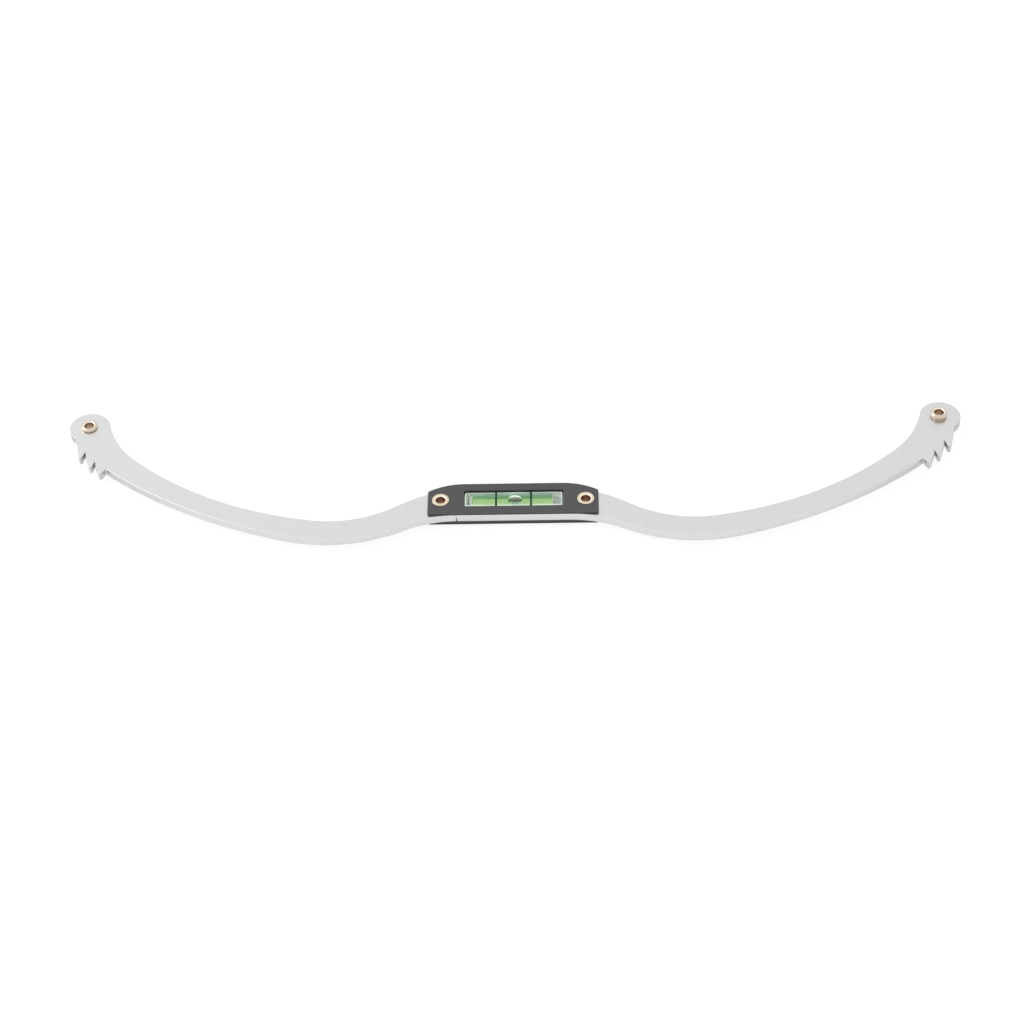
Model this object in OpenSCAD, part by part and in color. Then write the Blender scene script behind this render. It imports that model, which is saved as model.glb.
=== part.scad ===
// A bow-shaped ruler with threads for mapping eyebrows, and with a spirit level in its grip.
// It lies on its back: X runs along the bow, Y points to the side of the raised ends, Z is up.
// The origin is midway between the two grip eyelets, on the surface that the ruler rests on.

/* [Bow frame] */
// Thickness of the metal sheet that the bow is cut from
sheet_t = 2.0; // [2:0.1:3]
// Radius of the round lobe at each end
lobe_r = 4.85; // [4.75:0.05:4.95]
// Where the lobe stops and the first tooth starts, in degrees below the X axis
lobe_stop = 51; // [50:1:54]
// Radius of the rounded tooth tips
tip_r = 0.4; // [0.3:0.05:0.45]
// Radius of the rounded notches between the teeth
notch_r = 0.1; // [0.05:0.05:0.2]
// Radius of the soft bend in a tooth's outer flank
flank_r = 1.0; // [0.5:0.1:2]
// Radius of the rounded valley between the last tooth and the arm
valley_r = 0.4; // [0.2:0.05:0.5]

/* [Far edge of the bow] */
// Distance of the edge from the line of the grip eyelets
far_y = 5.0; // [4.8:0.1:5.4]
// Straight stretch beside the grip, from the middle out
far_flat = 7.5; // [7:0.5:8]
// Radius of the shoulder that drops away from the grip
far_shoulder_r = 35; // [34:0.5:36]
// Turn of the shoulder in degrees
far_shoulder_turn = 31.5; // [31:0.5:32]
// Straight stretch between the shoulder and the brow
far_slope = 3; // [2.5:0.5:3.5]
// Radius of the low part of the brow
far_brow_r = 27.5; // [27:0.5:28]
// Turn of the low part of the brow in degrees
far_brow_turn = 40.5; // [40:0.5:41]
// Radius of the long arm
far_arm_r = 84; // [83.5:0.5:84.5]
// Turn of the long arm in degrees
far_arm_turn = 33.5; // [33.5:0.1:34]
// Radius of the horn that rises to the lobe
far_horn_r = 25; // [24.5:0.5:25.5]
// Turn of the horn in degrees
far_horn_turn = 34.5; // [34:0.5:35]

/* [Near edge of the bow] */
// Distance of the edge from the line of the grip eyelets
near_y = 4.45; // [4.3:0.05:4.6]
// Straight stretch beside the grip, from the middle out
near_flat = 13; // [12.5:0.5:13.5]
// Radius of the shoulder that drops away from the grip
near_shoulder_r = 28; // [27.5:0.5:28.5]
// Turn of the shoulder in degrees
near_shoulder_turn = 26.5; // [26:0.5:27]
// Straight stretch between the shoulder and the brow
near_slope = 1; // [0.5:0.5:1.5]
// Radius of the low part of the brow
near_brow_r = 37; // [36.5:0.5:37.5]
// Turn of the low part of the brow in degrees
near_brow_turn = 41.5; // [41:0.5:42]
// Radius of the long arm, up to the teeth
near_arm_r = 118; // [117:1:119]
// Turn of the long arm in degrees
near_arm_turn = 24; // [23.5:0.1:24]

/* [Grip plates] */
// Length of the plates along X
plate_l = 40; // [39:0.5:41]
// Thickness of the front plate
front_plate_t = 0.6; // [0.6:0.05:1]
// Thickness of the back plate
back_plate_t = 1.0; // [1:0.05:1.2]
// Distance of the plates' near edge from the line of the grip eyelets
plate_y = 4.5; // [4.5:0.05:4.8]
// Distance of the plates' far edge from the line of the grip eyelets
plate_far_y = 5.4; // [5.3:0.05:5.6]
// Straight stretch of the plates' far edge, from the middle out
plate_flat = 11.5; // [11:0.5:12]
// Radius of the far edge's fall towards the plates' ends
plate_shoulder_r = 16; // [15:0.5:18]
// Radius of the plates' corners
plate_corner = 0.5; // [0.3:0.1:0.8]
// Clearance of the plates' window round the vial
window_gap = 0.2; // [0.1:0.05:0.3]
// Radius of the window's corners
window_corner = 0.35; // [0.2:0.05:0.5]

/* [Eyelets] */
// Distance between the two grip eyelets
grip_eyelet_span = 34; // [33:0.5:35]
// Radius of the eyelets' bore
eyelet_bore = 1.1; // [1.0:0.05:1.2]
// Radius of the eyelets' barrel, which fills its hole
eyelet_barrel = 1.5; // [1.4:0.05:1.6]
// Radius of the eyelets' flange and of the rolled foot
eyelet_flange = 2.0; // [2.0:0.05:2.2]
// Height of the flange on a grip eyelet
grip_flange_h = 0.2; // [0.2:0.05:0.6]
// Height of the flange on an eyelet at the bow's end
string_flange_h = 0.65; // [0.6:0.05:0.9]
// Gap under the flange of the left end's eyelet
left_lift = 0.15; // [0:0.05:0.3]
// Gap under the flange of the right end's eyelet
right_lift = 0.65; // [0:0.05:0.8]
// Distance of the left end's eyelet from the middle of its lobe, along X
left_shift = -0.1; // [-0.4:0.05:0.4]
// Distance of the right end's eyelet from the middle of its lobe, along X
right_shift = -0.4; // [-0.4:0.05:0.4]
// Height of the rolled foot under each eyelet
foot_h = 0.45; // [0.35:0.05:0.6]
// Rounding of the foot and of the grip eyelets' flange
flange_round = 0.1; // [0.05:0.05:0.1]
// Rounding of the flange on an eyelet at the bow's end
string_flange_round = 0.3; // [0.2:0.05:0.3]

/* [Vial] */
// Length of the clear block
vial_l = 22.8; // [22:0.1:23.4]
// Width of the clear block
vial_w = 4.6; // [4.5:0.1:5]
// Distance of the block's middle from the middle of the grip
vial_x = 0.1; // [-0.3:0.1:0.3]
// Distance of the block's middle from the line of the grip eyelets
vial_y = 0.5; // [0.3:0.1:0.6]
// Depth of the block's top face below the front plate's face
vial_recess = 0.3; // [0.2:0.05:0.3]
// Depth of the block's bottom face below the back plate
vial_drop = 0.3; // [0.25:0.05:0.35]
// Radius of the barrel-shaped bore in its middle
bore_r = 1.65; // [1.6:0.01:1.67]
// Distance of the bore's axis from the block's middle, towards the far side
bore_shift = 0.45; // [0:0.05:0.5]
// Radius of the curve that the bore's wall follows along X
barrel_curve = 1000; // [1000:100:2000]
// Wall at the closed end of the bore
end_wall = 1.1; // [0.8:0.1:1.5]
// Length of the plug that closes the other end
plug_l = 2.3; // [2:0.1:3]
// Distance of each gauge line from the middle
line_x = 4.1; // [3.8:0.1:4.5]
// Width of a gauge line
line_w = 0.45; // [0.3:0.05:0.5]
// Depth of the groove that a gauge line fills
line_deep = 0.1; // [0.05:0.05:0.1]
// Length of the bubble
bubble_l = 3.5; // [3.2:0.05:3.8]
// Radius of the bubble
bubble_r = 1.55; // [1.4:0.05:1.55]
// Distance of the bubble from the block's middle
bubble_x = 0.3; // [-0.5:0.05:0.5]

/* [Hidden] */

// Sharp corners of the right end's teeth, from the middle of the lobe: each tooth's tip, then the notch
// behind it and the bend in the next tooth's flank, or the valley behind the last tooth
teeth = [
    [1.1, -11.95], [0, -8.3], [-0.25, -10.05],
    [-1.8, -15.05], [-2.7, -11.5], [-2.9, -13.25],
    [-4.25, -16.9], [-5.5, -14.4],
];
teeth_r = [tip_r, notch_r, flank_r, tip_r, notch_r, flank_r, tip_r, valley_r];
// Finest step of the bow's long edges, of its lobes and of small rounds, in degrees
edge_step = 2;
lobe_step = 8;
round_step = 18;
// Gap between the bubble and the liquid that wraps it
film = 0.03;
// Number of straight steps in the wall of the barrel-shaped bore
barrel_steps = 16;
// Run of a cut past the face that it leaves
past = 1;
$fn = 96;

// Levels of the stack, from the surface that the ruler rests on
back_z = foot_h;
sheet_z = back_z + back_plate_t;
front_z = sheet_z + sheet_t;
top_z = front_z + front_plate_t;

// Vial: levels of the block, and the ends and the axis of its bore, with x from the block's middle
vial_low = back_z - vial_drop;
vial_h = top_z - vial_recess - vial_low;
tube_left = end_wall - vial_l / 2;
tube_right = vial_l / 2 - plug_l;
tube_y = vial_y + bore_shift;
tube_z = vial_low + vial_h / 2;

// Rotates a 2D vector by an angle in degrees
function turned(v, a) = [v.x * cos(a) - v.y * sin(a), v.x * sin(a) + v.y * cos(a)];

// Unit vector along a 2D vector
function unit(v) = v / norm(v);

// Mirror image of a list of points on the other side of the Y axis, in reverse order
function mirrored(pts) = [for (i = [len(pts) - 1:-1:0]) [-pts[i].x, pts[i].y]];

// Centre of the arc that leaves p at a heading, to the left if r is positive
function arc_centre(p, heading, r) = p + r * [-sin(heading), cos(heading)];

// Points of one leg without its end: [0, length] is straight, [radius, turn] an arc
function leg_points(p, heading, leg) =
    leg[0] == 0 ? [p] :
    let (c = arc_centre(p, heading, leg[0]))
    let (n = ceil(leg[1] / edge_step))
    [for (k = [0:n - 1]) c + turned(p - c, sign(leg[0]) * leg[1] * k / n)];

// Point where one leg ends
function leg_end(p, heading, leg) =
    leg[0] == 0 ? p + leg[1] * [cos(heading), sin(heading)] :
    let (c = arc_centre(p, heading, leg[0]))
    c + turned(p - c, sign(leg[0]) * leg[1]);

// Points of a smooth path from a start and a heading in degrees, through its legs from the i-th on
function path(p, heading, legs, i = 0) =
    i == len(legs) ? [p] :
    concat(leg_points(p, heading, legs[i]),
           path(leg_end(p, heading, legs[i]), heading + sign(legs[i][0]) * legs[i][1], legs, i + 1));

// Arc of radius r that rounds the corner at b, between the lines to a and to c
function rounded(a, b, c, r) =
    let (u = unit(a - b))
    let (v = unit(c - b))
    let (half = acos(u * v) / 2)
    let (centre = b + unit(u + v) * r / sin(half))
    let (spoke = b + u * r / tan(half) - centre)
    let (swing = (180 - 2 * half) * sign(cross(b - a, c - b)))
    let (n = ceil(abs(swing) / round_step))
    [for (k = [0:n]) centre + turned(spoke, swing * k / n)];

// Closed outline with every corner rounded to radius r
function rounded_outline(pts, r) =
    let (n = len(pts))
    [for (i = [0:n - 1]) each rounded(pts[(i + n - 1) % n], pts[i], pts[(i + 1) % n], r)];

// Corners of a rectangle of length l and width w about the vial's middle
function vial_corners(l, w) =
    [for (s = [[-1, -1], [1, -1], [1, 1], [-1, 1]]) [vial_x + s.x * l / 2, vial_y + s.y * w / 2]];

// Radius of the barrel-shaped bore at a distance x from the block's middle
function tube_r(x) = bore_r - barrel_curve + sqrt(barrel_curve * barrel_curve - x * x);

// Right half of the bow's far edge, from the middle out to the lobe
far_edge = path([0, far_y], 0, [
    [0, far_flat], [-far_shoulder_r, far_shoulder_turn], [0, far_slope],
    [far_brow_r, far_brow_turn], [far_arm_r, far_arm_turn], [far_horn_r, far_horn_turn],
]);
far_end = far_edge[len(far_edge) - 1];
far_heading = far_brow_turn + far_arm_turn + far_horn_turn - far_shoulder_turn;

// Right half of the bow's near edge, from the middle out to the valley beside the teeth
near_edge = path([0, -near_y], 0, [
    [0, near_flat], [-near_shoulder_r, near_shoulder_turn], [0, near_slope],
    [near_brow_r, near_brow_turn], [near_arm_r, near_arm_turn],
]);
near_end = near_edge[len(near_edge) - 1];

// The lobe carries on from the far edge without a kink, and turns right as far as the first tooth
lobe = arc_centre(far_end, far_heading, -lobe_r);
lobe_turn = 90 + far_heading + lobe_stop;
lobe_n = ceil(lobe_turn / lobe_step);
lobe_arc = [for (k = [1:lobe_n]) lobe + turned(far_end - lobe, -lobe_turn * k / lobe_n)];

// Middles of the eyelets in the two lobes
left_string = [left_shift - lobe.x, lobe.y];
right_string = [right_shift + lobe.x, lobe.y];

// Rounded teeth, between the lobe's last point and the near edge's last point
tooth_line = concat([lobe_arc[lobe_n - 1]], [for (p = teeth) lobe + p], [near_end]);
tooth_edge = [for (i = [1:len(teeth)])
    each rounded(tooth_line[i - 1], tooth_line[i], tooth_line[i + 1], teeth_r[i - 1])];

// Outline of the bow: its right half from the far middle to the near middle, then its left half
right_half = concat(far_edge, lobe_arc, tooth_edge, [for (i = [len(near_edge) - 1:-1:0]) near_edge[i]]);
left_half = mirrored([for (i = [1:len(right_half) - 2]) right_half[i]]);
bow_outline = concat(right_half, left_half);

// Outline of a grip plate: a far edge that falls away to both ends, straight ends and a straight near edge
plate_turn = asin((plate_l / 2 - plate_flat) / plate_shoulder_r);
plate_far = path([0, plate_far_y], 0, [[0, plate_flat], [-plate_shoulder_r, plate_turn]]);
plate_far_n = len(plate_far) - 1;
plate_line = [
    plate_far[plate_far_n - 1], plate_far[plate_far_n], [plate_l / 2, -plate_y], [-plate_l / 2, -plate_y],
];
plate_right = [for (i = [1:2])
    each rounded(plate_line[i - 1], plate_line[i], plate_line[i + 1], plate_corner)];
plate_half = concat([for (i = [0:plate_far_n - 1]) plate_far[i]], plate_right);
plate_outline = concat(plate_half, mirrored([for (i = [1:len(plate_half) - 1]) plate_half[i]]));

// Turns a solid of revolution to lie along X on the bore's axis, from x on
module along_tube(x) {
    translate([vial_x + x, tube_y, tube_z])
        rotate([0, 90, 0])
            children();
}

// Holes for the two grip eyelets, in outline
module grip_holes() {
    for (side = [-1, 1])
        translate([side * grip_eyelet_span / 2, 0])
            circle(r = eyelet_barrel);
}

// Grip plate of thickness t from level z up, with its window and the eyelets' holes
module grip_plate(z, t) {
    window_l = vial_l + 2 * window_gap;
    window_w = vial_w + 2 * window_gap;
    translate([0, 0, z])
        linear_extrude(t)
            difference() {
                polygon(plate_outline);
                polygon(rounded_outline(vial_corners(window_l, window_w), window_corner));
                grip_holes();
            }
}

// Half section of a flange from y = 0 up to h, with both of its rims rounded
module flange_section(h, rim) {
    width = eyelet_flange - eyelet_bore;
    translate([eyelet_bore, 0]) {
        square([width, h - rim]);
        translate([rim, 0])
            square([width - 2 * rim, h]);
        for (x = [rim, width - rim])
            translate([x, h - rim])
                circle(r = rim);
    }
}

// Eyelet at a point of the bow, from its rolled foot below one level to its flange above the other
module eyelet(at, low, high, flange_h, rim) {
    translate([at.x, at.y, 0])
        rotate_extrude() {
            translate([eyelet_bore, low])
                square([eyelet_barrel - eyelet_bore, high - low]);
            translate([0, high])
                flange_section(flange_h, rim);
            translate([0, low])
                mirror([0, 1])
                    flange_section(foot_h, flange_round);
        }
}

// Space inside the bore between its closed end and the plug
module tube_space() {
    wall = [for (i = [0:barrel_steps])
        let (x = tube_left + (tube_right - tube_left) * i / barrel_steps)
        [tube_r(x), x]];
    along_tube(0)
        rotate_extrude()
            polygon(concat([[0, tube_left]], wall, [[0, tube_right]]));
}

// Bubble with round ends, grown by a gap
module bubble_shape(gap) {
    r = bubble_r + gap;
    reach = bubble_l / 2 - bubble_r;
    along_tube(bubble_x)
        rotate_extrude()
            intersection() {
                union() {
                    for (y = [-reach, reach])
                        translate([0, y])
                            circle(r = r);
                    translate([0, -reach])
                        square([r, 2 * reach]);
                }
                translate([0, -bubble_l])
                    square([2 * r, 2 * bubble_l]);
            }
}

// Gauge line in its groove, right across the top of the vial
module line_shape(side) {
    translate([vial_x + side * line_x - line_w / 2, vial_y - vial_w / 2, vial_low + vial_h - line_deep])
        cube([line_w, vial_w, line_deep]);
}

module bow_frame() {
    color([0.86, 0.86, 0.87])
        translate([0, 0, sheet_z])
            linear_extrude(sheet_t)
                difference() {
                    polygon(bow_outline);
                    polygon(vial_corners(vial_l, vial_w));
                    grip_holes();
                    for (at = [left_string, right_string])
                        translate(at)
                            circle(r = eyelet_barrel);
                }
}

module front_grip_plate() {
    color([0.36, 0.36, 0.37])
        grip_plate(front_z, front_plate_t);
}

module back_grip_plate() {
    color([0.36, 0.36, 0.37])
        grip_plate(back_z, back_plate_t);
}

module grip_eyelet(side) {
    color([0.86, 0.7, 0.44])
        eyelet([side * grip_eyelet_span / 2, 0], back_z, top_z, grip_flange_h, flange_round);
}

module string_eyelet(at, lift) {
    color([0.86, 0.7, 0.44])
        eyelet(at, sheet_z, front_z + lift, string_flange_h, string_flange_round);
}

module vial_body() {
    color([0.82, 0.9, 0.88, 0.4])
        difference() {
            translate([vial_x - vial_l / 2, vial_y - vial_w / 2, vial_low])
                cube([vial_l, vial_w, vial_h]);
            tube_space();
            along_tube(tube_right)
                cylinder(r = tube_r(tube_right), h = plug_l + past);
            for (side = [-1, 1])
                line_shape(side);
        }
}

module vial_plug() {
    color([0.88, 0.92, 0.9, 0.5])
        along_tube(tube_right)
            cylinder(r = tube_r(tube_right), h = plug_l);
}

module vial_liquid() {
    color([0.56, 0.75, 0.46, 0.8])
        difference() {
            tube_space();
            bubble_shape(film);
        }
}

module vial_bubble() {
    color([0.9, 0.97, 0.9, 0.7])
        bubble_shape(0);
}

module gauge_line(side) {
    color([0.05, 0.08, 0.06])
        line_shape(side);
}

bow_frame();
front_grip_plate();
back_grip_plate();
grip_eyelet(-1);  // left_grip_eyelet
grip_eyelet(1);  // right_grip_eyelet
string_eyelet(left_string, left_lift);  // left_string_eyelet
string_eyelet(right_string, right_lift);  // right_string_eyelet
vial_body();
vial_plug();
vial_liquid();
vial_bubble();
gauge_line(-1);  // left_gauge_line
gauge_line(1);  // right_gauge_line
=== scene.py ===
from math import pi

import bpy
import numpy as np
from mathutils import Matrix, Vector
from mathutils.geometry import tessellate_polygon


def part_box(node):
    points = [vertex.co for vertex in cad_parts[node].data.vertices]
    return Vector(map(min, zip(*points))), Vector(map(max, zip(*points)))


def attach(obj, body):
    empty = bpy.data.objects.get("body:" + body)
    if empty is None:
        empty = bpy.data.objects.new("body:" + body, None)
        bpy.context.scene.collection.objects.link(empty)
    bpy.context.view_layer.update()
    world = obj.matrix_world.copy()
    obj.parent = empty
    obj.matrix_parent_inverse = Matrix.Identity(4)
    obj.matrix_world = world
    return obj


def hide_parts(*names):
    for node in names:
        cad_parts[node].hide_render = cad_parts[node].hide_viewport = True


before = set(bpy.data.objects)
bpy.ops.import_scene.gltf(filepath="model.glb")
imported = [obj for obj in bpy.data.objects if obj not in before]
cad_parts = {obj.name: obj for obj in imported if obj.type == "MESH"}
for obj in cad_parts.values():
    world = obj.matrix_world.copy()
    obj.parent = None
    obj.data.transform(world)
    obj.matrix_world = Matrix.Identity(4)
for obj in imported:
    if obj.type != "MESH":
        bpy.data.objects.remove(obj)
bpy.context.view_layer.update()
scene = bpy.context.scene
scene.view_settings.view_transform = "Standard"
MM = 0.001


# Camera
# The photo looks down on the ruler from the front, 45 degrees above the table and 0.6 m away,
# through a long lens. The ruler lies a degree or two askew in it.
look_down, ruler_turn, camera_roll = np.radians((45, -1.628, -1.912))
grip_distance, grip_aside, grip_above = 600.42 * MM, 0.348 * MM, 0.103 * MM
focal_px, picture_px, sensor_mm = 2553.1, 1024, 36

camera_data = bpy.data.cameras.new("camera")
camera_data.sensor_width = sensor_mm
camera_data.lens = focal_px / picture_px * sensor_mm
camera = bpy.data.objects.new("camera", camera_data)
camera.matrix_world = (
    Matrix.Rotation(-ruler_turn, 4, "Z")
    @ Matrix.Rotation(pi / 2 - look_down, 4, "X")
    @ Matrix.Rotation(camera_roll, 4, "Z")
    @ Matrix.Translation((-grip_aside, -grip_above, grip_distance))
)
scene.collection.objects.link(camera)
scene.camera = camera


# Table and light
# A plain white table in a white studio, with one large soft lamp above it on the left and behind,
# so that each raised rim has a light side and a faint shadow to the right.
table_half = 6.0
white, table_white = (1, 1, 1, 1), (0.9, 0.9, 0.9, 1)
shown_white = 1.1
own_light, table_in_metal, table_in_glass = 0.8, 0.8, 0.5
studio_light = 0.72
lamp_place, lamp_size, lamp_power = (-0.85, 0.3, 0.85), 0.8, 5.0


def add_node(tree, kind, inputs=None, **settings):
    """Adds a shader node. Each input is set to its value, or linked to its socket."""
    node = tree.nodes.new("ShaderNode" + kind)
    for name, value in settings.items():
        setattr(node, name, value)
    for name, value in (inputs or {}).items():
        if isinstance(value, bpy.types.NodeSocket):
            tree.links.new(value, node.inputs[name])
        else:
            node.inputs[name].default_value = value
    return node


def seen_directly(tree, in_metal, in_glass):
    """1 on a ray from the camera, in_metal on one reflected by a gloss, in_glass on one through glass, and
    0 on any other."""
    path = add_node(tree, "LightPath")
    seen = path.outputs["Is Camera Ray"]
    for ray, share in (("Is Glossy Ray", in_metal), ("Is Transmission Ray", in_glass)):
        part = add_node(tree, "Math", {0: path.outputs[ray], 1: share}, operation="MULTIPLY")
        seen = add_node(tree, "Math", {0: seen, 1: part.outputs[0]}, operation="MAXIMUM").outputs[0]
    return seen


table_mesh = bpy.data.meshes.new("table")
table_mesh.from_pydata(
    [(-table_half, -table_half, 0), (table_half, -table_half, 0), (table_half, table_half, 0),
     (-table_half, table_half, 0)], [], [(0, 1, 2, 3)])
table = bpy.data.objects.new("table", table_mesh)
scene.collection.objects.link(table)
table_white_paint = bpy.data.materials.new("table_white")
table_white_paint.use_nodes = True
tree = table_white_paint.node_tree
tree.nodes.remove(tree.nodes["Principled BSDF"])
matt = add_node(tree, "BsdfDiffuse", {"Color": table_white})
glow = add_node(tree, "Emission", {"Color": white, "Strength": shown_white})
seen = seen_directly(tree, table_in_metal, table_in_glass)
share = add_node(tree, "Math", {0: seen, 1: own_light}, operation="MULTIPLY")
both = add_node(tree, "MixShader", {0: share.outputs[0], 1: matt.outputs[0], 2: glow.outputs[0]})
tree.links.new(both.outputs[0], tree.nodes["Material Output"].inputs["Surface"])
table_mesh.materials.append(table_white_paint)

scene.world = bpy.data.worlds.new("studio")
scene.world.use_nodes = True
tree = scene.world.node_tree
strength = add_node(tree, "MapRange", {"Value": seen_directly(tree, 1, 1), "To Min": studio_light})
studio = tree.nodes["Background"]
studio.inputs["Color"].default_value = white
tree.links.new(strength.outputs[0], studio.inputs["Strength"])

lamp_data = bpy.data.lights.new("lamp", "AREA")
lamp_data.size = lamp_size
lamp_data.energy = lamp_power
lamp = bpy.data.objects.new("lamp", lamp_data)
lamp.matrix_world = Matrix.LocRotScale(lamp_place, Vector(lamp_place).to_track_quat("Z", "Y"), None)
scene.collection.objects.link(lamp)


# Bow frame
# The bow is cut from 2 mm aluminium sheet, anodised satin silver, with its cut edges tumbled smooth.
# Its long edges are chains of straight and round legs in mm, with painted shade on their walls and rims
# towards both ends, where there is a round lobe with three teeth below it.
sheet_rim = 0.11 * MM
rim_steps, lobe_steps, arc_step, corner_turn = 5, 56, 0.3, 9
far_start, near_start = (0, 5.0), (0, -4.45)
far_legs = [(0, 7.5), (-35, 31.5), (0, 3), (27.5, 40.5), (84, 33.5), (25, 34.5)]
near_legs = [(0, 13), (-28, 26.5), (0, 1), (37, 41.5), (118, 24)]
lobe_r, lobe_stop = 4.85, 51
teeth = [(1.1, -11.95), (0, -8.3), (-0.25, -10.05), (-1.8, -15.05), (-2.7, -11.5), (-2.9, -13.25),
         (-4.25, -16.9), (-5.5, -14.4)]
tip_r, notch_r, flank_r, valley_r = 0.4, 0.1, 1.0, 0.4
teeth_r = [tip_r, notch_r, flank_r, tip_r, notch_r, flank_r, tip_r, valley_r]
barrel_r = 1.5
nick_x, nick_w, nick_deep = -13.2, 0.24, 0.5
# Painted light and shade: the cut walls are painted lighter and the rims carry a painted highlight, both turn
# darker towards the ends as painted shade, and the walls round the vial window are painted dark for the shade
# in the gap there.
silver, wall_light_silver, rim_highlight_silver = (0.69, 0.69, 0.695, 1), (0.76, 0.76, 0.76, 1), (0.75, 0.75, 0.75, 1)
end_shade_silver, end_shade_from, end_shade_to = (0.6, 0.6, 0.6, 1), 75 * MM, 105 * MM
window_gap_shade = (0.03, 0.035, 0.03, 1)
fine_detail, coarse_detail, coarse_share = 3.0, 2.0, 0.07
colour_a, colour_b, colour_mixed = 6, 7, 2


def along_legs(start, legs, step=arc_step):
    """Points along straight legs (0, length) and round legs (radius, turn in degrees), to the left if the
    radius is positive. A round leg's point at heading h is its centre + radius * (sin h, -cos h)."""
    parts, end, heading = [], np.array(start, float), 0.0
    for radius, amount in legs:
        if radius == 0:
            t = np.linspace(0, amount, 2)
            leg = end + t[:, None] * (np.cos(heading), np.sin(heading))
        else:
            turn = np.sign(radius) * np.radians(amount)
            h = heading + turn * np.linspace(0, 1, int(abs(radius * turn) / step) + 2)
            centre = end + radius * np.array((-np.sin(heading), np.cos(heading)))
            leg = centre + radius * np.column_stack((np.sin(h), -np.cos(h)))
            heading += turn
        parts.append(leg[:-1])
        end = leg[-1]
    return np.concatenate(parts + [end[None]]), heading


def round_corner(a, b, c, r, step=corner_turn):
    """Arc of radius r that touches the lines b-a and b-c. Its centre lies on their bisector, r / sin(half)
    from b, and it is swept by the turn between the two lines."""
    a, b, c = np.array(a, float), np.array(b, float), np.array(c, float)
    u, v = (a - b) / np.linalg.norm(a - b), (c - b) / np.linalg.norm(c - b)
    half = np.arccos(u @ v) / 2
    centre = b + (u + v) / np.linalg.norm(u + v) * r / np.sin(half)
    spoke = b + u * r / np.tan(half) - centre
    side = (b - a)[0] * (c - b)[1] - (b - a)[1] * (c - b)[0]
    swing = (pi - 2 * half) * np.sign(side)
    t = swing * np.linspace(0, 1, int(abs(np.degrees(swing)) / step) + 2)
    return centre + np.column_stack((spoke[0] * np.cos(t) - spoke[1] * np.sin(t),
                                     spoke[0] * np.sin(t) + spoke[1] * np.cos(t)))


def circle(centre, r, steps=64):
    """Points centre + r * (cos t, sin t), anticlockwise."""
    t = np.linspace(0, 2 * pi, steps, endpoint=False)
    return np.array(centre) + r * np.column_stack((np.cos(t), np.sin(t)))


def inset(outline, depth):
    """The closed outline moved to its left by depth: each point goes along the sum of its two edges'
    normals, divided by 1 + their product, so that both edges move by depth."""
    edge = np.roll(outline, -1, 0) - outline
    normal = np.column_stack((-edge[:, 1], edge[:, 0])) / np.linalg.norm(edge, axis=1)[:, None]
    before = np.roll(normal, 1, 0)
    return outline + (normal + before) * (depth / (1 + (normal * before).sum(1)))[:, None]


def strip_faces(rows, columns, first=0):
    """Quads between each row of points and the next, where each row closes on itself."""
    k, i = np.meshgrid(np.arange(rows - 1), np.arange(columns), indexing="ij")
    here, beside = first + k * columns + i, first + k * columns + (i + 1) % columns
    return np.stack((here, beside, beside + columns, here + columns), -1).reshape(-1, 4)


def make_piece(name, points, faces, smooth, zones, materials, body="ruler"):
    """Makes a piece that rides on a body. Zones are numbers on the faces that its materials read."""
    mesh = bpy.data.meshes.new(name)
    mesh.from_pydata(points.tolist(), [], [list(map(int, face)) for face in faces])
    mesh.polygons.foreach_set("use_smooth", np.asarray(smooth, bool))
    for zone, values in zones.items():
        mesh.attributes.new(zone, "FLOAT", "FACE").data.foreach_set("value", np.asarray(values, np.float32))
    for material in materials:
        mesh.materials.append(material)
    mesh.update()
    piece = bpy.data.objects.new(name, mesh)
    scene.collection.objects.link(piece)
    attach(piece, body)
    return piece


def area(outline):
    """Area of a closed outline, half the sum of x0 y1 - y0 x1 over its edges. It is positive if the outline
    runs anticlockwise."""
    after = np.roll(outline, -1, 0)
    return (outline[:, 0] * after[:, 1] - outline[:, 1] * after[:, 0]).sum() / 2


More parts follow.
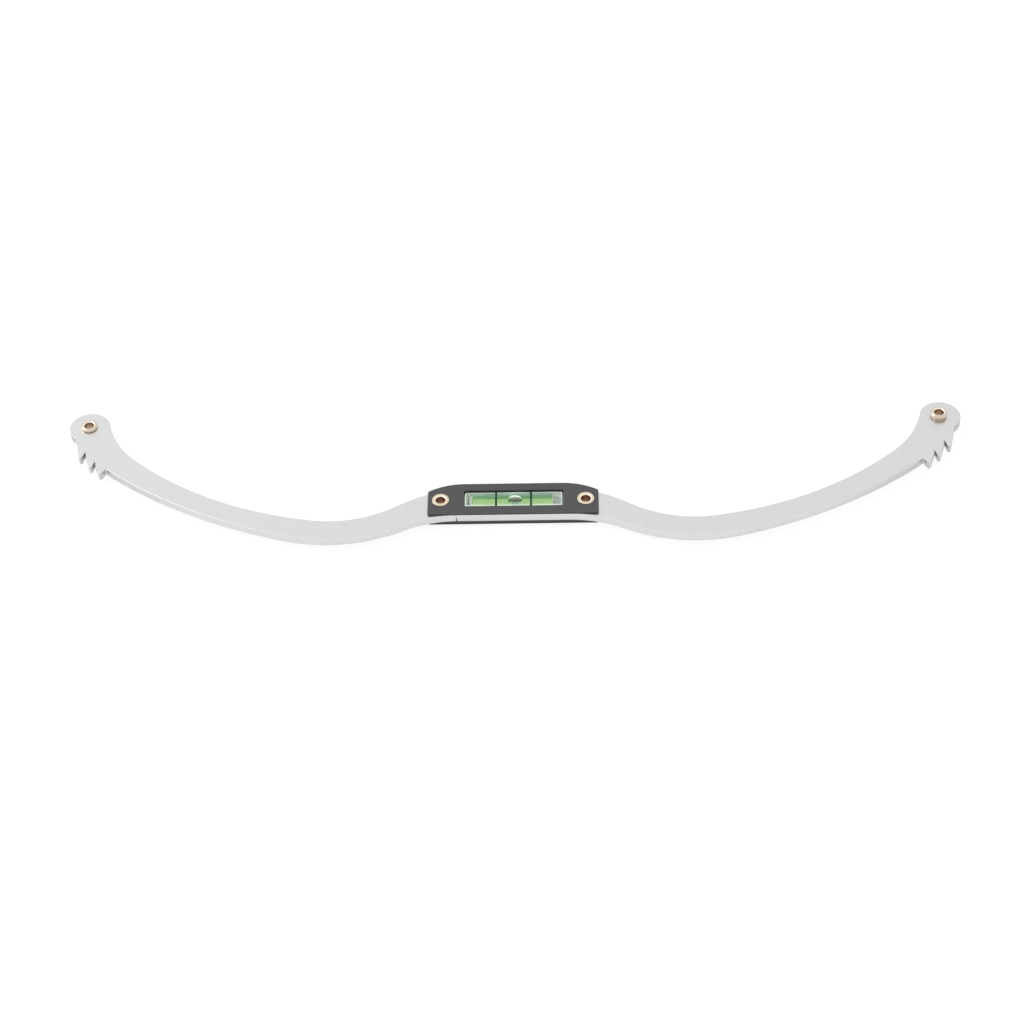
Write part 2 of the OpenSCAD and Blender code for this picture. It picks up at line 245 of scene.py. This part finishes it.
def make_sheet(name, outline, holes, low, high, rim, material, window=None):
    """A flat sheet with round rims. The rim's section is a quarter circle: at angle a, a ring of the outline
    lies rim * (1 - sin a) inside it and rim * (1 - cos a) from the face. Quads join the rings. Those of the
    cut wall and of the rims have a zone each, those of the hole whose number is window have one too, and
    a zone for painted shade rises from 0 to 1 along the edges as they leave the middle."""
    a = np.linspace(0, pi / 2, rim_steps + 1)
    depths = rim * (1 - np.sin(a))
    depths = np.concatenate((depths, depths[::-1]))
    rises = rim * (1 - np.cos(a))
    heights = np.concatenate((low + rises, high - rises[::-1]))
    rows = len(depths)
    loops = [outline[::-1] if area(outline) < 0 else outline]
    loops += [hole if area(hole) < 0 else hole[::-1] for hole in holes]
    points, faces, wall, at_window, first = [], [], [], [], 0
    caps = [[], []]
    for number, loop in enumerate(loops, -1):
        rings = np.stack([np.column_stack((inset(loop, d), np.full(len(loop), z)))
                          for d, z in zip(depths, heights)])
        points.append(rings.reshape(-1, 3))
        faces.append(strip_faces(rows, len(loop), first))
        wall.append(np.repeat(np.arange(rows - 1) == rim_steps, len(loop)))
        at_window.append(np.full(len(wall[-1]), number == window))
        for cap, row in zip(caps, (0, rows - 1)):
            cap.append((rings[row], first + row * len(loop) + np.arange(len(loop))))
        first += rows * len(loop)
    points = np.concatenate(points)
    wall, at_window = np.concatenate(wall), np.concatenate(at_window)
    lids = []
    for cap, facing in zip(caps, (-1, 1)):
        index = np.concatenate([numbers for _, numbers in cap])
        triangles = index[np.array(tessellate_polygon([ring.tolist() for ring, _ in cap]))]
        p = points[triangles][:, :, :2]
        u, v = p[:, 1] - p[:, 0], p[:, 2] - p[:, 0]
        up = u[:, 0] * v[:, 1] - u[:, 1] * v[:, 0]
        triangles[up * facing < 0] = triangles[up * facing < 0][:, ::-1]
        lids.append(triangles)
    lids = np.concatenate(lids)
    flat = np.zeros(len(lids))
    strips = np.concatenate(faces)
    from_middle = abs(points[strips][:, :, 0].mean(1))
    zones = {"wall": wall, "rim": ~wall, "window": at_window,
             "painted_tone": np.clip((from_middle - end_shade_from) / (end_shade_to - end_shade_from), 0, 1)}
    return make_piece(name, points, list(strips) + list(lids), np.concatenate((np.ones(len(wall)), flat)),
                      {zone: np.concatenate((mask, flat)) for zone, mask in zones.items()}, [material])


def mirrored(points):
    """The points on the other side of the Y axis, in reverse order."""
    return points[::-1] * (-1, 1)


def nicked(outline):
    """The outline with a small V cut into its near edge at nick_x."""
    x, y = outline.T
    kept = outline[(abs(x - nick_x) > nick_w / 2) | (y > 0)]
    x, y = kept.T
    at = np.flatnonzero((x[:-1] > nick_x) & (x[1:] < nick_x) & (y[:-1] < 0))[0]
    edge_y = np.interp(nick_x, (x[at + 1], x[at]), (y[at + 1], y[at]))
    cut = [(nick_x + nick_w / 2, edge_y), (nick_x, edge_y + nick_deep), (nick_x - nick_w / 2, edge_y)]
    return np.insert(kept, at + 1, cut, axis=0)


def grain_group():
    """Fine and coarse noise that varies a finish: its colour, its roughness and its height."""
    group = bpy.data.node_groups.new("grain", "ShaderNodeTree")
    for name, kind in (("Colour", "Color"), ("Mottle", "Float"), ("Grains", "Float"),
                       ("Roughness", "Float"), ("Roughness spread", "Float"), ("Depth", "Float")):
        group.interface.new_socket(name, in_out="INPUT", socket_type="NodeSocket" + kind)
    for name, kind in (("Colour", "Color"), ("Roughness", "Float"), ("Normal", "Vector")):
        group.interface.new_socket(name, in_out="OUTPUT", socket_type="NodeSocket" + kind)
    given = group.nodes.new("NodeGroupInput").outputs
    result = group.nodes.new("NodeGroupOutput").inputs
    place = add_node(group, "TexCoord").outputs["Object"]
    fine = add_node(group, "TexNoise", {"Vector": place, "Scale": given["Grains"], "Detail": fine_detail})
    wide = add_node(group, "Math", {0: given["Grains"], 1: coarse_share}, operation="MULTIPLY")
    coarse = add_node(group, "TexNoise", {"Vector": place, "Scale": wide.outputs[0],
                                          "Detail": coarse_detail})
    mixed = add_node(group, "Math", {0: fine.outputs["Fac"], 1: coarse.outputs["Fac"]}, operation="ADD")
    centred = add_node(group, "Math", {0: mixed.outputs[0], 1: 1.0}, operation="SUBTRACT")
    bright = add_node(group, "Math", {0: centred.outputs[0], 1: given["Mottle"], 2: 1.0},
                      operation="MULTIPLY_ADD")
    colour = add_node(group, "VectorMath", {0: given["Colour"], "Scale": bright.outputs[0]},
                      operation="SCALE")
    rough = add_node(group, "Math", {0: centred.outputs[0], 1: given["Roughness spread"],
                                     2: given["Roughness"]}, operation="MULTIPLY_ADD")
    bump = add_node(group, "Bump", {"Height": fine.outputs["Fac"], "Distance": given["Depth"]})
    group.links.new(colour.outputs[0], result["Colour"])
    group.links.new(rough.outputs[0], result["Roughness"])
    group.links.new(bump.outputs[0], result["Normal"])
    return group


def edges_group():
    """Colour of a piece by its zones: its faces, cut walls, rims, painted tone and window. The zones other
    than the face hold the pieces' painted light and shade.
    """
    group = bpy.data.node_groups.new("cut_edges", "ShaderNodeTree")
    for name in ("Face", "Wall", "Rim", "Painted_tone", "Window"):
        group.interface.new_socket(name, in_out="INPUT", socket_type="NodeSocketColor")
    group.interface.new_socket("Colour", in_out="OUTPUT", socket_type="NodeSocketColor")
    given = group.nodes.new("NodeGroupInput").outputs
    result = group.nodes.new("NodeGroupOutput").inputs
    colour = given["Face"]
    for zone in ("wall", "rim", "painted_tone", "window"):
        mask = add_node(group, "Attribute", attribute_name=zone).outputs["Fac"]
        mix = add_node(group, "Mix", data_type="RGBA")
        group.links.new(mask, mix.inputs["Factor"])
        group.links.new(colour, mix.inputs[colour_a])
        group.links.new(given[zone.capitalize()], mix.inputs[colour_b])
        colour = mix.outputs[colour_mixed]
    group.links.new(colour, result["Colour"])
    return group


def grained(name, colour, roughness, mottle=0.0, grains=1500, spread=0.0, depth=0.0, **shader_values):
    """A material whose colour, roughness and normal come from the grain. The colour is either one colour or
    the zones' colours by name."""
    material = bpy.data.materials.new(name)
    material.use_nodes = True
    tree = material.node_tree
    shader = tree.nodes["Principled BSDF"]
    if isinstance(colour, dict):
        colour = add_node(tree, "Group", colour, node_tree=cut_edges).outputs["Colour"]
    noise = add_node(tree, "Group", {"Colour": colour, "Mottle": mottle, "Grains": grains,
                                     "Roughness": roughness, "Roughness spread": spread, "Depth": depth},
                     node_tree=grain)
    tree.links.new(noise.outputs["Colour"], shader.inputs["Base Color"])
    tree.links.new(noise.outputs["Roughness"], shader.inputs["Roughness"])
    tree.links.new(noise.outputs["Normal"], shader.inputs["Normal"])
    for socket, value in shader_values.items():
        shader.inputs[socket.replace("_", " ")].default_value = value
    return material


grain, cut_edges = grain_group(), edges_group()

far_edge, far_heading = along_legs(far_start, far_legs)
near_edge, _ = along_legs(near_start, near_legs)
lobe = far_edge[-1] - lobe_r * np.array((-np.sin(far_heading), np.cos(far_heading)))
lobe_turn = np.linspace(0, pi / 2 + far_heading + np.radians(lobe_stop), lobe_steps)[1:]
lobe_heading = far_heading - lobe_turn
lobe_arc = lobe - lobe_r * np.column_stack((np.sin(lobe_heading), -np.cos(lobe_heading)))
tooth_line = np.concatenate((lobe_arc[-1:], lobe + teeth, near_edge[-1:]))
tooth_arcs = [round_corner(*tooth_line[i:i + 3], r) for i, r in enumerate(teeth_r)]
right_half = np.concatenate([far_edge, lobe_arc] + tooth_arcs + [near_edge[::-1]])
bow_outline = nicked(np.concatenate((right_half, mirrored(right_half[1:-1]))))
vial_low, vial_high = (np.array(corner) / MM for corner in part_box("vial_body"))
vial_window = np.array([(vial_low[0], vial_low[1]), (vial_high[0], vial_low[1]),
                        (vial_high[0], vial_high[1]), (vial_low[0], vial_high[1])])
grip_holes, string_holes = (
    [circle(((Vector(low) + Vector(high)) / (2 * MM))[:2], barrel_r)
     for low, high in (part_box(f"{side}_{place}_eyelet") for side in ("left", "right"))]
    for place in ("grip", "string"))

satin_silver = grained("satin_silver", {"Face": silver, "Wall": wall_light_silver, "Rim": rim_highlight_silver,
                                        "Painted_tone": end_shade_silver, "Window": window_gap_shade}, mottle=0.05, grains=9000,
                       roughness=0.34, spread=0.06, depth=0.000002, Metallic=1.0)
sheet_low, sheet_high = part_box("bow_frame")
bow_holes = [hole * MM for hole in [vial_window] + grip_holes + string_holes]
bow = make_sheet("bow", bow_outline * MM, bow_holes, sheet_low[2], sheet_high[2], sheet_rim, satin_silver,
                 window=0)
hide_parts("bow_frame")


# Grip plates
# Two plates of matt dark grey plastic cover the front and the back of the grip. Each has a long straight
# far edge that falls away to both ends, and a window round the vial.
plate_rim = 0.12 * MM
plate_flat, plate_shoulder_r, plate_arc_step = 11.5, 16, 0.6
plate_corner, window_gap, window_corner = 0.5, 0.2, 0.35
# Painted light and shade: the cut walls are painted darker as shade, the rims lighter as a painted highlight,
# and the walls round the window are painted shade.
grey, wall_shade_grey, rim_highlight_grey = (0.068, 0.068, 0.07, 1), (0.04, 0.04, 0.042, 1), (0.1, 0.1, 0.103, 1)
shaded_grey = (0.012, 0.014, 0.013, 1)


def rounded_outline(corners, r):
    """Closed outline with an arc of radius r at each corner."""
    n = len(corners)
    return np.concatenate([round_corner(corners[i - 1], corners[i], corners[(i + 1) % n], r)
                           for i in range(n)])


plate_low, plate_high = (np.array(corner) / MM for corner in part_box("front_grip_plate"))
plate_turn = np.degrees(np.arcsin((plate_high[0] - plate_flat) / plate_shoulder_r))
plate_far, _ = along_legs((0, plate_high[1]), [(0, plate_flat), (-plate_shoulder_r, plate_turn)],
                          plate_arc_step)
plate_end = np.array([(plate_high[0], plate_low[1]), (plate_low[0], plate_low[1])])
plate_line = np.concatenate((plate_far[-2:], plate_end))
plate_corners = [round_corner(*plate_line[i:i + 3], plate_corner) for i in (0, 1)]
plate_half = np.concatenate([plate_far[:-1]] + plate_corners)
plate_outline = np.concatenate((plate_half, mirrored(plate_half[1:])))
window = rounded_outline(vial_window + np.sign(vial_window - vial_window.mean(0)) * window_gap, window_corner)

matt_grey = grained("matt_grey", {"Face": grey, "Wall": wall_shade_grey, "Rim": rim_highlight_grey, "Window": shaded_grey},
                    mottle=0.12, grains=7000, roughness=0.55, spread=0.1, depth=0.000004)
for plate in ("front_grip_plate", "back_grip_plate"):
    low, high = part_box(plate)
    cover = make_sheet(plate.replace("grip_plate", "cover"), plate_outline * MM,
                       [hole * MM for hole in [window] + grip_holes], low[2], high[2], plate_rim, matt_grey,
                       window=0)
    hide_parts(plate)


# Eyelets
# Four turned brass eyelets. The two in the grip clamp both plates to the bow, and the two in the lobes
# guide the thread and stand off the sheet. Each is flanged in front and rolled over at the back.
bore_r = 1.1
grip_flange_h, string_flange_h = 0.2, 0.65
flange_foot_r, foot_r = 0.08, 0.14
inner_lip_r, grip_outer_lip_r, string_outer_lip_r = 0.35, 0.11, 0.45
eyelet_steps, sharp_angle = 96, np.radians(40)
# Painted light and shade: the bores are painted dark as shade, the inner lips carry a painted highlight, and
# below the outer lip the string eyelets are painted lighter, a painted reflection of the sheet.
brass, bore_shade_brass, lip_highlight_brass = (0.76, 0.66, 0.49, 1), (0.45, 0.3, 0.22, 1), (0.95, 0.86, 0.74, 1)
dull_brass, aged_bore_shade_brass, sheet_reflection_brass = (0.68, 0.57, 0.46, 1), (0.55, 0.43, 0.33, 1), (0.88, 0.75, 0.64, 1)


def lathe(profile, centre, axis="Z", steps=eyelet_steps):
    """Rings of a surface of revolution: (r cos t, r sin t, h) about Z, or (h, r cos t, r sin t) about X."""
    t = np.linspace(0, 2 * pi, steps, endpoint=False)
    r, h = profile[:, :1], profile[:, 1:]
    rings = [r * np.cos(t), r * np.sin(t), h + 0 * t]
    if axis == "X":
        rings = [rings[2], rings[0], rings[1]]
    return np.stack(rings, -1) + np.array(centre)


def make_eyelet(name, node, low, flange_h, outer_lip_r, metal):
    """Turns an eyelet from its half section, which runs anticlockwise from the bore's foot, with an arc at
    each corner (r, z, arc's radius). Its wall zone is the bore, which takes painted shade, its rim zone is
    the inner lip, which takes a painted highlight, and a zone below the outer lip takes a painted
    reflection of the sheet on the string eyelets."""
    box_low, box_high = (np.array(corner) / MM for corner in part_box(node))
    flange_r, top = (box_high[0] - box_low[0]) / 2, box_high[2]
    high = top - flange_h
    corners = [(bore_r, box_low[2], foot_r), (flange_r, box_low[2], foot_r), (flange_r, low, flange_foot_r),
               (barrel_r, low, flange_foot_r), (barrel_r, high, flange_foot_r),
               (flange_r, high, flange_foot_r), (flange_r, top, outer_lip_r), (bore_r, top, inner_lip_r)]
    n = len(corners)
    profile = np.concatenate([round_corner(corners[i - 1][:2], corners[i][:2], corners[(i + 1) % n][:2],
                                           corners[i][2]) for i in range(n)])
    profile = np.concatenate((profile, profile[:1]))
    middle = ((box_low + box_high) / 2)[:2]
    rings = lathe(profile, (*middle, 0))
    faces = strip_faces(len(profile), eyelet_steps) % ((len(profile) - 1) * eyelet_steps)
    points = rings[:-1].reshape(-1, 3) * MM
    r, z = np.repeat((profile[1:] + profile[:-1]) / 2, eyelet_steps, axis=0).T
    in_bore = (r < bore_r + inner_lip_r / 3) & (z < top - inner_lip_r / 2)
    on_lip = ~in_bore & (r < bore_r + inner_lip_r) & (z > top - inner_lip_r)
    below_lip = (r > (bore_r + barrel_r) / 2) & (z < top - outer_lip_r)
    eyelet = make_piece(name, points, faces, np.ones(len(faces)),
                        {"wall": in_bore, "rim": on_lip, "painted_tone": below_lip}, [metal])
    eyelet.data.set_sharp_from_angle(angle=sharp_angle)
    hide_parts(node)


pale_brass = grained("pale_brass", {"Face": brass, "Wall": bore_shade_brass, "Rim": lip_highlight_brass, "Painted_tone": brass},
                     mottle=0.08, grains=2500, roughness=0.2, spread=0.1, depth=0.000002, Metallic=1.0)
aged_brass = grained("aged_brass", {"Face": dull_brass, "Wall": aged_bore_shade_brass, "Rim": lip_highlight_brass,
                                    "Painted_tone": sheet_reflection_brass}, mottle=0.12, grains=2500, roughness=0.25, spread=0.1,
                     depth=0.000002, Metallic=1.0)
for side in ("left", "right"):
    make_eyelet(side + "_grip_ring", side + "_grip_eyelet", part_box("back_grip_plate")[0][2] / MM,
                grip_flange_h, grip_outer_lip_r, pale_brass)
    make_eyelet(side + "_string_ring", side + "_string_eyelet", sheet_low[2] / MM, string_flange_h,
                string_outer_lip_r, aged_brass)


# Vial block
# A clear acrylic block, sawn and polished, glued by its sides into the bow's window. Its barrel-shaped
# bore is drilled from the right end. Its filed edges are frosted, and they and the glue glow: painted
# light, standing in for the light in the block. The glue film's colours are painted too: teal for the
# shaded bow wall behind it, grey as painted shade at the clear ends, darker at the left one, with a dark
# painted line under it.
block_gap = 0.02
block_corner, block_rim = 0.28, 0.25
side_steps, corner_steps, bore_steps = 18, 5, 24
barrel_curve, drill_tip = 1000, 0.5
# The glued sides are painted paler along a band of this height at their top, a painted highlight.
pale_glue_h = 0.7
acrylic_ior, liquid_ior = 1.49, 1.36
acrylic, filed_acrylic = (0.97, 0.99, 0.98, 1), (0.97, 1, 0.97, 1)
# Painted light and shade in the glue film: teal for the shaded wall, paler downwards and along the top, grey
# for the shadowed table under the clear ends, dark at the left end.
wall_shade_teal, lit_glue, glue_top_highlight = (0.46, 0.72, 0.7, 1), (0.75, 1, 0.95, 1), (0.75, 0.92, 0.8, 1)
end_shade_grey, left_end_shade = (0.82, 0.86, 0.8, 1), (0.06, 0.09, 0.06, 1)
# Where the painted dark line lies under the left end, and how much of the grey it and the left end keep.
dark_line_low, dark_line_high, left_share, dark_line_share = -10.7, -10.42, 0.68, 0.15
# The glue's and the filed edges' glow is painted light.
glue_glow, edge_glow, edge_white = 0.2, 0.3, (0.9, 1, 0.92, 1)
wet_index, glue_index, filed_index = 1, 2, 3


def block_section(cut):
    """A rectangle with round corners, anticlockwise in Y and Z from its far side, moved inwards by cut.
    Each quarter of its points is a corner, and then a side."""
    half = (vial_high - vial_low)[1:] / 2 - block_gap
    core, r = half - block_corner, block_corner - cut
    t, s = np.linspace(0, pi / 2, corner_steps + 1), np.linspace(0, 1, side_steps + 1)[1:-1, None]
    signs = np.array([(1, 1), (-1, 1), (-1, -1), (1, -1)])
    parts = []
    for quarter, (sign, after) in enumerate(zip(signs, np.roll(signs, -1, 0))):
        a = t + quarter * pi / 2
        arc = sign * core + r * np.column_stack((np.cos(a), np.sin(a)))
        parts += [arc, arc[-1] + s * (after - sign) * core]
    return np.concatenate(parts)


def tube_radius(x):
    """Radius of the barrel-shaped bore at x: its wall is a circle of radius barrel_curve."""
    return tube_r - barrel_curve + np.sqrt(barrel_curve ** 2 - (x - vial_middle[0]) ** 2)


def block_stations():
    """Where the block's outside changes, from left to right: x, how far its section lies inwards on the
    round rims of its ends, and how deep a gauge line's groove is there."""
    a = np.linspace(0, pi / 2, rim_steps + 1)
    cuts, ends = block_rim * (1 - np.sin(a)), block_rim * (1 - np.cos(a))
    stations = [(block_low + end, cut, 0) for end, cut in zip(ends, cuts)]
    stations += [(x, 0, 0) for x in (dark_line_low, dark_line_high, tube_left)]
    for low, high in line_boxes:
        x0, x1, groove = low[0] / MM, high[0] / MM, vial_high[2] - low[2] / MM
        stations += [(x0, 0, 0), (x0, 0, groove), (x1, 0, groove), (x1, 0, 0)]
    stations += [(tube_right, 0, 0)]
    return stations + [(block_high - end, cut, 0) for end, cut in zip(ends[::-1], cuts[::-1])]


def block_rings():
    """The outer rings are the sections at the stations. The inner ones are (x, r cos t, r sin t) round the
    bore, from the right end back to the left, and start at the angle where the sections do."""
    stations, section = block_stations(), block_section(0)
    outer = np.stack([np.column_stack((np.full(len(section), x), block_section(cut) + vial_middle[1:]))
                      for x, cut, _ in stations])
    for ring, (_, _, groove) in zip(outer, stations):
        ring[:, 2] = np.minimum(ring[:, 2], vial_high[2] - block_gap - groove)
    bore_x = np.linspace(tube_right, tube_left, bore_steps + 1)
    profile = np.column_stack((tube_radius(bore_x), bore_x))
    profile = np.concatenate(([(profile[0, 0], block_high)], profile))
    first_angle = np.arctan2(*(section[0] + vial_middle[1:] - tube_axis)[::-1])
    t = first_angle + np.linspace(0, 2 * pi, len(section), endpoint=False)
    around = np.column_stack((0 * t, np.cos(t), np.sin(t)))
    return outer, np.stack([r * around + (x, *tube_axis) for r, x in profile])


def closed_tube(rings, start_middle, end_middle):
    """Points and quads of a tube of rings, and the fans that close its first and its last ring, each with
    its middle."""
    rows, columns = rings.shape[:2]
    i, last = np.arange(columns), (rows - 1) * columns
    after = (i + 1) % columns
    start = np.column_stack((after, i, np.full(columns, rows * columns)))
    end = np.column_stack((last + i, last + after, np.full(columns, rows * columns + 1)))
    points = np.concatenate((rings.reshape(-1, 3), [start_middle, end_middle]))
    return points, strip_faces(rows, columns), np.concatenate((start, end))


def block_marks(middles, outer_rows, columns):
    """Whether each quad is smooth, its material and its zones, by its row, its column and its middle. The
    wall zone is painted light on the glued sides, brighter downwards, the rim zone is a painted highlight
    along their top, a third zone marks the left end for painted shade, and the window zone is painted
    shade, grey, at both ends, with a dark line under the left one."""
    x, _, z = middles.T
    row, column = np.divmod(np.arange(len(middles)), columns)
    quarter, step = np.divmod(column, side_steps + corner_steps)
    on_corner = step < corner_steps
    in_bore = row >= outer_rows
    along = ~in_bore & (row < outer_rows - 1)
    on_end_rim = along & ((row < rim_steps) | (row >= outer_rows - rim_steps - 1))
    on_top = (quarter == 0) | ((quarter == 1) & on_corner)
    on_side = along & ((quarter % 2 == 1) != on_corner) & (quarter > 0) & (z < sheet_high[2] / MM)
    on_side |= along & on_corner & (quarter == 3)
    past_bore = (x < tube_left) | (x > tube_right)
    under_end = along & ~on_corner & (quarter == 2) & past_bore
    in_dark_line = under_end & (x > dark_line_low) & (x < dark_line_high)
    at_left = past_bore & (x < vial_middle[0])
    pale_from = sheet_high[2] / MM - pale_glue_h
    lit = on_side * np.clip((pale_from - z) / (pale_from - vial_low[2]), 0, 1)
    pale = on_side & ~past_bore & (z > pale_from)
    # Painted shade: grey at both clear ends, darker at the left end, with a dark line under it.
    grey = (under_end | (on_side & past_bore)) * np.where(at_left, left_share, 1)
    grey[in_dark_line] = dark_line_share
    wet, filed = in_bore & (x < tube_right), along & on_top & (on_corner | on_end_rim)
    kinds = wet_index * wet + glue_index * (on_side | under_end) + filed_index * filed
    smooth = in_bore | (on_corner & along) | on_end_rim
    return smooth, kinds, {"wall": lit, "rim": pale, "painted_tone": at_left, "window": grey}


vial_middle = (vial_low + vial_high) / 2
liquid_low, liquid_high = (np.array(corner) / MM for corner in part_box("vial_liquid"))
tube_axis, tube_r = ((liquid_low + liquid_high) / 2)[1:], (liquid_high - liquid_low)[2] / 2
tube_left, tube_right = liquid_low[0] + drill_tip, liquid_high[0]
block_low, block_high = vial_low[0] + block_gap, vial_high[0] - block_gap
line_boxes = [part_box(side + "_gauge_line") for side in ("left", "right")]

clear_acrylic = grained("clear_acrylic", acrylic, roughness=0.03, spread=0.04, depth=0.000001,
                        IOR=acrylic_ior, Transmission_Weight=1.0)
wet_acrylic = grained("wet_acrylic", acrylic, roughness=0.02, spread=0.02, IOR=acrylic_ior / liquid_ior,
                      Transmission_Weight=1.0)
glue_film = grained("glue_film", {"Face": wall_shade_teal, "Wall": lit_glue, "Rim": glue_top_highlight, "Painted_tone": left_end_shade,
                                  "Window": end_shade_grey}, roughness=0.6, mottle=0.3, grains=2500, spread=0.1,
                    depth=0.000004, Emission_Strength=glue_glow)
# The glue glows in its own colours, painted light for the light that reaches it through the block.
tree = glue_film.node_tree
shader = tree.nodes["Principled BSDF"]
tree.links.new(shader.inputs["Base Color"].links[0].from_socket, shader.inputs["Emission Color"])
# The filed edges are frosted and glow white, a painted highlight.
filed_edge = grained("filed_edge", filed_acrylic, roughness=0.5, mottle=0.1, grains=4000, spread=0.2,
                     depth=0.000006, IOR=acrylic_ior, Transmission_Weight=0.5, Emission_Color=edge_white,
                     Emission_Strength=edge_glow)

outer, inner = block_rings()
points, sides, fans = closed_tube(np.concatenate((outer, inner)), (block_low, *vial_middle[1:]),
                                  (tube_left - drill_tip, *tube_axis))
smooth, kinds, zones = block_marks(points[sides].mean(1), *outer.shape[:2])
flat = np.zeros(len(fans))
block = make_piece("vial_block", points * MM, list(sides) + list(fans), np.concatenate((smooth, flat)),
                   {zone: np.concatenate((values, flat)) for zone, values in zones.items()},
                   [clear_acrylic, wet_acrylic, glue_film, filed_edge])
fan_kinds = np.repeat((0, filed_index), len(fans) // 2)
block.data.polygons.foreach_set("material_index", np.concatenate((kinds, fan_kinds)).astype(np.int32))
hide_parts("vial_body")


# Vial plug
# A short acrylic rod, sawn to length and pushed into the bore's open end. Its wall and its sawn ends are
# lightly frosted.
plug_gap, plug_chamfer = 0.03, 0.12
sawn_acrylic = (0.95, 0.97, 0.96, 1)


def rod_shape(profile, tip=0.0, steps=64):
    """A closed tube along the bore: rings of radius r at x. The left end's middle stands out by tip."""
    return closed_tube(lathe(profile, (0, *tube_axis), "X", steps),
                       (profile[0, 1] - tip, *tube_axis), (profile[-1, 1], *tube_axis))


def make_rod(name, shape, materials, body="ruler"):
    """Makes a rod from its points, quads and fans."""
    points, sides, fans = shape
    rod = make_piece(name, points * MM, list(sides) + list(fans), np.ones(len(sides) + len(fans)), {},
                     materials, body)
    rod.data.set_sharp_from_angle(angle=sharp_angle)
    return rod


frosted_acrylic = grained("frosted_acrylic", sawn_acrylic, roughness=0.35, grains=3000, spread=0.2,
                          depth=0.000004, IOR=acrylic_ior, Transmission_Weight=1.0)
plug_r, plug_low, plug_high = tube_radius(tube_right) - plug_gap, tube_right + plug_gap, block_high - plug_gap
plug_profile = np.array([(plug_r - plug_chamfer, plug_low), (plug_r, plug_low + plug_chamfer),
                         (plug_r, plug_high - plug_chamfer), (plug_r - plug_chamfer, plug_high)])
plug = make_rod("plug_rod", rod_shape(plug_profile), [frosted_acrylic])
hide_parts("vial_plug")


# Vial liquid
# Spirit with a yellow-green dye that fills the bore. It is clear, and its colour deepens with its depth.
# Its mesh is a whole rod, and the bubble's lies inside it, so that no gap shows when the bubble slides.
# The bore's wall bends the light for both sides of it, so the rod's own surface has an index of 1.
liquid_gap = 0.02
dye, dye_density = (0.38, 0.74, 0.04, 1), 400.0

liquid_x = np.linspace(tube_left + liquid_gap, tube_right - liquid_gap, bore_steps + 1)
liquid_profile = np.column_stack((tube_radius(liquid_x) - liquid_gap, liquid_x))

green_spirit = grained("green_spirit", white, roughness=0.0, IOR=1.0, Transmission_Weight=1.0)
tree = green_spirit.node_tree
depth_colour = add_node(tree, "VolumeAbsorption", {"Color": dye, "Density": dye_density})
tree.links.new(depth_colour.outputs[0], tree.nodes["Material Output"].inputs["Volume"])
liquid = make_rod("green_liquid", rod_shape(liquid_profile, drill_tip - liquid_gap), [green_spirit])
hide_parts("vial_liquid")


# Vial bubble
# The air bubble that shows when the ruler is level. It has round ends and runs along the bore. Its far
# upper side carries a glowing line, a painted highlight for the studio's reflection, its near upper side
# a painted dark line, and the rest of it is half-opaque pale grey, a painted reflection.
# The glint is a painted highlight, the shade a painted dark line, and the grey of the air a painted
# reflection.
glint_from, glint_to, glint_half, glint_glow = 36, 66, 1.45, 0.8
shade_from, shade_to, shade_half = 104, 137, 1.6
bubble_reflection_grey, dark_air, air_roughness, air_clear = (0.68, 0.74, 0.66, 1), (0.17, 0.2, 0.16, 1), 0.1, 0.4
round_steps = 24
glint_index, shade_index = 1, 2


def capsule(r, low, high):
    """Profile of a rod with round ends: (r sin a, low + r (1 - cos a)), and its mirror image up to high."""
    a = np.linspace(0, pi / 2, round_steps + 1)[1:]
    left_end = np.column_stack((r * np.sin(a), low + r * (1 - np.cos(a))))
    return np.concatenate((left_end, left_end[::-1] * (1, -1) + (0, low + high)))


bubble_low, bubble_high = (np.array(corner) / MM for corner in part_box("vial_bubble"))
bubble_r = (bubble_high[1] - bubble_low[1]) / 2
air, shade = (grained(name, colour, air_roughness, IOR=1 / liquid_ior, Transmission_Weight=air_clear)
              for name, colour in (("air", bubble_reflection_grey), ("shade", dark_air)))
glint = grained("glint", white, roughness=0.3, Emission_Color=white, Emission_Strength=glint_glow)
shape = rod_shape(capsule(bubble_r, bubble_low[0], bubble_high[0]))
bubble = make_rod("air_bubble", shape, [air, glint, shade], "bubble")
points, sides, fans = shape
x, y, z = np.concatenate((points[sides].mean(1), points[fans].mean(1))).T
angle = np.degrees(np.arctan2(z - tube_axis[1], y - tube_axis[0]))
off_middle = abs(x - (bubble_low[0] + bubble_high[0]) / 2)
# Painted highlight and painted dark line, fixed on the bubble's surface.
in_glint = (angle > glint_from) & (angle < glint_to) & (off_middle < glint_half)
in_shade = (angle > shade_from) & (angle < shade_to) & (off_middle < shade_half)
kinds = glint_index * in_glint + shade_index * in_shade
bubble.data.polygons.foreach_set("material_index", kinds.astype(np.int32))
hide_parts("vial_bubble")


# Gauge lines
# Two lines of dark green paint, wiped into the grooves across the top of the vial.
line_rim = 0.02 * MM
line_green = (0.016, 0.045, 0.02, 1)
line_paint = grained("line_paint", line_green, mottle=0.2, grains=8000, roughness=0.6, spread=0.1,
                     depth=0.000002, Specular_IOR_Level=0.1)
for side, (low, high) in zip(("left", "right"), line_boxes):
    y0, y1 = low[1] + 2 * block_gap * MM, high[1] - 2 * block_gap * MM
    corners = np.array([(low[0], y0), (high[0], y0), (high[0], y1), (low[0], y1)])
    line = make_sheet(side + "_paint_line", corners, [], low[2], high[2], line_rim, line_paint)
    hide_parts(side + "_gauge_line")
